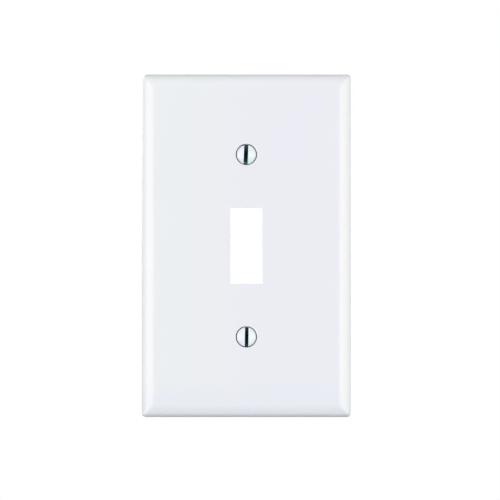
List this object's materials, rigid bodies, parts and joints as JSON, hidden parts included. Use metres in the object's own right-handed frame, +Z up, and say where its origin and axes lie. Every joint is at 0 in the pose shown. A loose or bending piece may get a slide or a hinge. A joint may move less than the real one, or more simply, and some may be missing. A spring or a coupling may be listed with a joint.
{
  "type": "toggle switch wall plate",
  "caption": "Single-gang toggle switch wall plate: hollow moulded cover with a bevelled edge, a rectangular toggle opening and slotted oval-head mounting screws.",
  "frame": {"origin": "centre of the plate's outline, on the wall plane that its rim rests on", "axes": "+X to the right seen from the front, +Y into the wall, +Z up the plate; the face looks along -Y"},
  "size_m": [0.0698, 0.0138, 0.1142],
  "materials": {
    "plate_plastic": "smooth glossy moulded white, a trace of blue",
    "screw_painted_steel": "white painted head, bare dark slot, zinc-plated thread"
  },
  "bodies": {
    "plate": {"wall_plate": "plate_plastic"},
    "upper_screw": {"upper_screw": "screw_painted_steel"},
    "lower_screw": {"lower_screw": "screw_painted_steel"}
  },
  "joints": [
    {"name": "upper_screw_turn", "type": "hinge", "parent": "plate", "child": "upper_screw", "pos_m": [0, 0, 0.03016], "axis": [0, 1, 0], "continuous": true},
    {"name": "lower_screw_turn", "type": "hinge", "parent": "plate", "child": "lower_screw", "pos_m": [0, 0, -0.03016], "axis": [0, 1, 0], "continuous": true}
  ]
}
